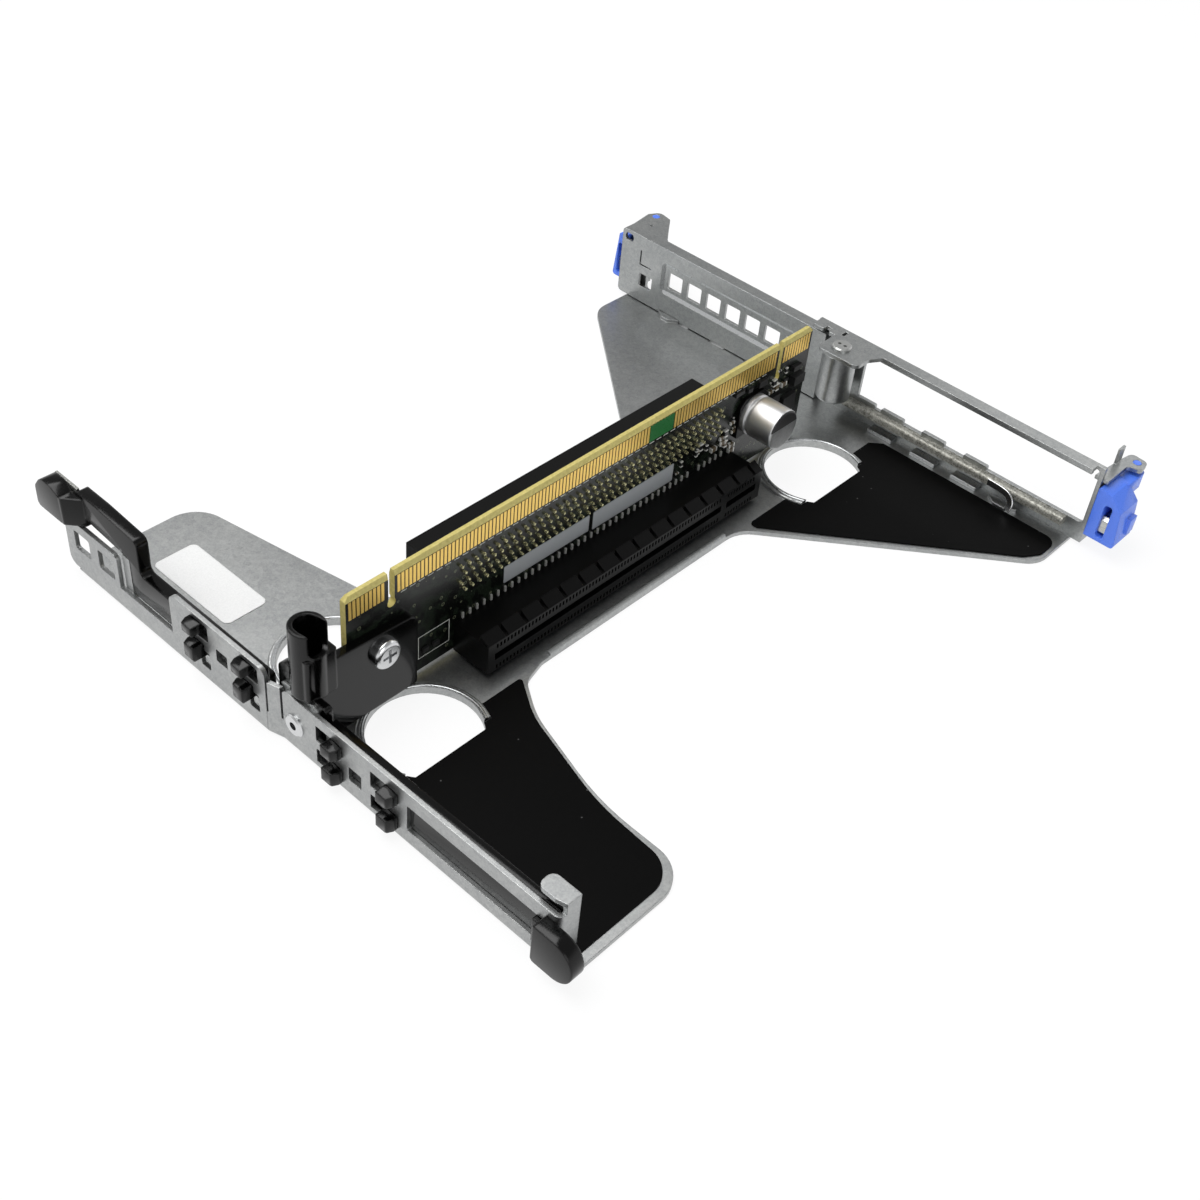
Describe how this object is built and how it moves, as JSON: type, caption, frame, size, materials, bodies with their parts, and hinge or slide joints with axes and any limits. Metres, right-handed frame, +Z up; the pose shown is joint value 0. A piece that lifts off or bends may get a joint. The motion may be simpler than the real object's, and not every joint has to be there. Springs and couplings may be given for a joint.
{
  "type": "riser card",
  "caption": "Riser board standing on a flat metal cage, with a card slot on each face, black card guides at one end and a rear bracket frame with two blue latches.",
  "frame": {"origin": "on the underside of the base plate, below the riser board's middle plane, at the middle of the cage's length", "axes": "+X along the card side with the front slot, +Y from the card guides to the rear bracket, +Z up towards the edge contacts"},
  "size_m": [0.1594, 0.1902, 0.0327],
  "materials": {
    "galvanised": "galvanised sheet",
    "insulator": "matt black film",
    "label": "white sticker",
    "black_plastic": "satin black moulding",
    "bright_metal": "bright plated",
    "board": "dark solder mask",
    "gold": "gold plated",
    "slot_plastic": "black moulding",
    "tin": "tin plated",
    "can": "brushed can",
    "chips": "small electronic parts",
    "gasket": "metallised fabric",
    "latch": "blue moulding"
  },
  "bodies": {
    "cage": {"cage_plate": "galvanised", "insulator_near": "insulator", "insulator_far": "insulator", "plate_label": "label", "left_card_holder": "black_plastic", "holder_strip": "galvanised", "right_card_guide": "black_plastic", "rivet_backing": "galvanised", "holder_rivet": "bright_metal", "board_holder": "black_plastic", "board_screw": "bright_metal", "screw_nut": "bright_metal", "riser_board": "board", "edge_contacts": "gold", "front_slot": "slot_plastic", "front_slot_contacts": "tin", "back_slot": "slot_plastic", "back_slot_contacts": "tin", "capacitor_base": "slot_plastic", "capacitor_can": "can", "board_labels": "label", "board_chips": "chips", "rear_frame": "galvanised", "slot_filler": "galvanised", "rear_gasket": "gasket", "rear_clips": "bright_metal", "screw_boss": "galvanised", "tab_screw": "bright_metal"},
    "left_latch": {"latch_left": "latch", "latch_leaf_left": "bright_metal"},
    "right_latch": {"latch_right": "latch", "latch_leaf_right": "bright_metal"}
  },
  "joints": [
    {"name": "left_latch_hinge", "type": "hinge", "parent": "cage", "child": "left_latch", "pos_m": [-0.07232, 0.0907, 0.0189], "axis": [0, 0, 1], "range_deg": [-60, 0]},
    {"name": "right_latch_hinge", "type": "hinge", "parent": "cage", "child": "right_latch", "pos_m": [0.07369, 0.0926, 0.0189], "axis": [0, 0, 1], "range_deg": [0, 60]}
  ]
}
